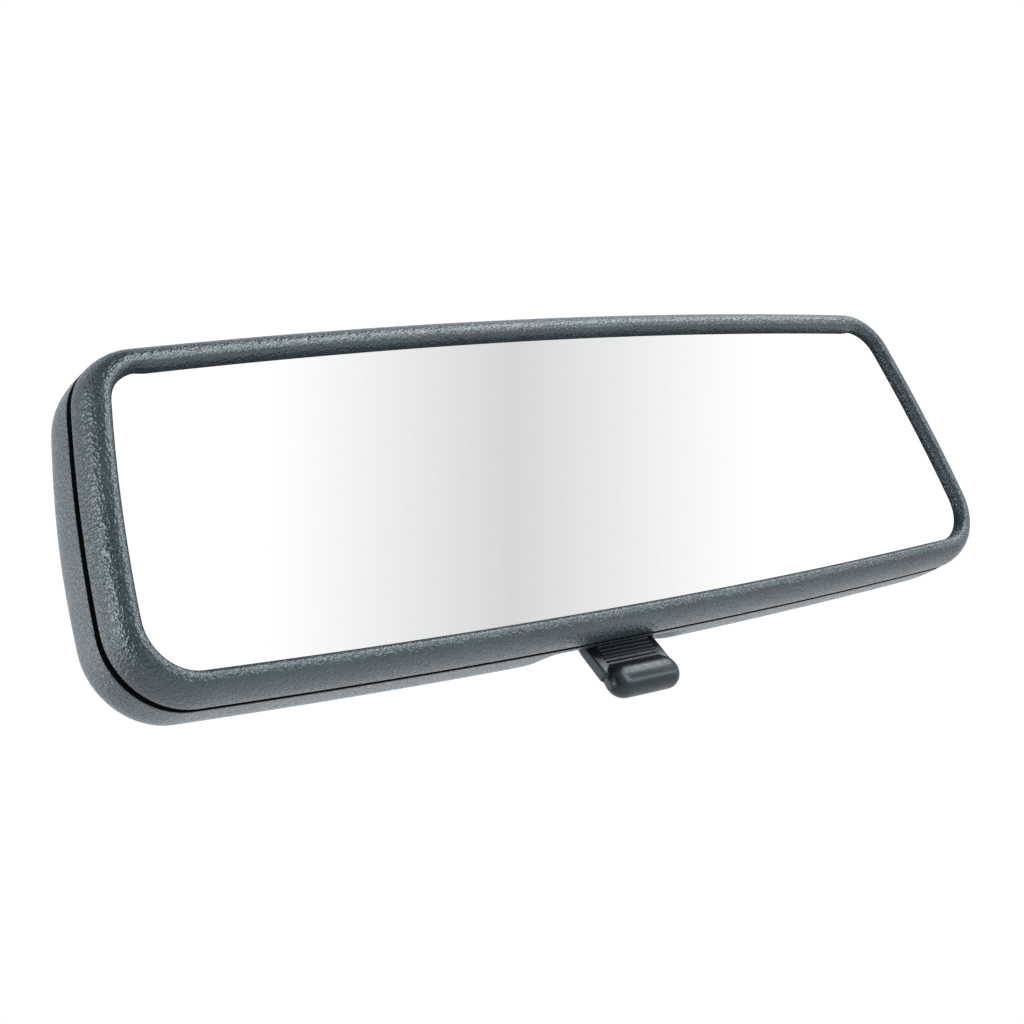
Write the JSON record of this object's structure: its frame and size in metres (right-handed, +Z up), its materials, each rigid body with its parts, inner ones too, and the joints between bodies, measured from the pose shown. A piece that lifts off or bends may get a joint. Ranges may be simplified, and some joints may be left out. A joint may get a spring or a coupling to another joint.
{
  "type": "interior rearview mirror",
  "caption": "Interior rearview mirror with a day and night flip lever, a ball jointed head and a windscreen arm that bonds to the glass.",
  "frame": {"origin": "centre of the flat face of the windscreen button that is bonded to the windscreen", "axes": "+X along the mirror's long side, +Y forward to the windscreen, +Z up; the glass faces -Y"},
  "size_m": [0.2446, 0.0792, 0.0937],
  "materials": {
    "casing": "fine grained matte charcoal plastic",
    "lever": "satin black plastic",
    "mirror": "polished prism glass with a reflecting coat on its back",
    "film": "smooth dark adhesive film",
    "foam": "open cell foam",
    "nylon": "natural nylon",
    "mechanism": "glass filled black plastic",
    "die_cast": "black powder coated die casting",
    "bare_steel": "zinc plated steel",
    "spring_steel": "oiled spring steel"
  },
  "bodies": {
    "mount": {"windscreen_button": "bare_steel", "mount_arm": "die_cast", "button_set_screw": "bare_steel", "ball_stud": "bare_steel"},
    "swivel": {"socket_liner": "nylon"},
    "tilt_ring": {"ball_retainer": "nylon"},
    "bracket": {"pivot_bracket": "mechanism", "socket_clamp_plate": "die_cast", "clamp_screw_1": "bare_steel", "clamp_screw_2": "bare_steel", "clamp_screw_3": "bare_steel", "socket_spring": "spring_steel"},
    "head": {"rear_housing": "casing", "front_bezel": "casing", "mirror_glass": "mirror", "glass_backing_film": "film", "foam_strip_upper": "foam", "foam_strip_lower": "foam", "mechanism_carrier": "mechanism", "carrier_screw_1": "bare_steel", "carrier_screw_2": "bare_steel", "carrier_screw_3": "bare_steel", "carrier_screw_4": "bare_steel", "hinge_pin": "bare_steel", "lever_pivot_pin": "bare_steel", "toggle_spring": "spring_steel"},
    "lever": {"dip_lever": "lever"}
  },
  "joints": [
    {"name": "head_yaw", "type": "hinge", "parent": "mount", "child": "swivel", "pos_m": [0, -0.0355, -0.0373], "axis": [0, 0, 1], "range_deg": [-25, 25]},
    {"name": "head_tilt", "type": "hinge", "parent": "swivel", "child": "tilt_ring", "pos_m": [0, -0.0355, -0.0373], "axis": [1, 0, 0], "range_deg": [-18, 18]},
    {"name": "head_roll", "type": "hinge", "parent": "tilt_ring", "child": "bracket", "pos_m": [0, -0.0355, -0.0373], "axis": [0, 1, 0], "range_deg": [-15, 15]},
    {"name": "dip_hinge", "type": "hinge", "parent": "bracket", "child": "head", "pos_m": [0, -0.0457, -0.0136], "axis": [1, 0, 0], "range_deg": [0, 4]},
    {"name": "lever_flip", "type": "hinge", "parent": "head", "child": "lever", "pos_m": [0, -0.04918, -0.05853], "axis": [1, 0, 0], "range_deg": [0, 40]}
  ],
  "couplings": [
    {"joint": "lever_flip", "follows": "dip_hinge", "ratio": 10}
  ]
}
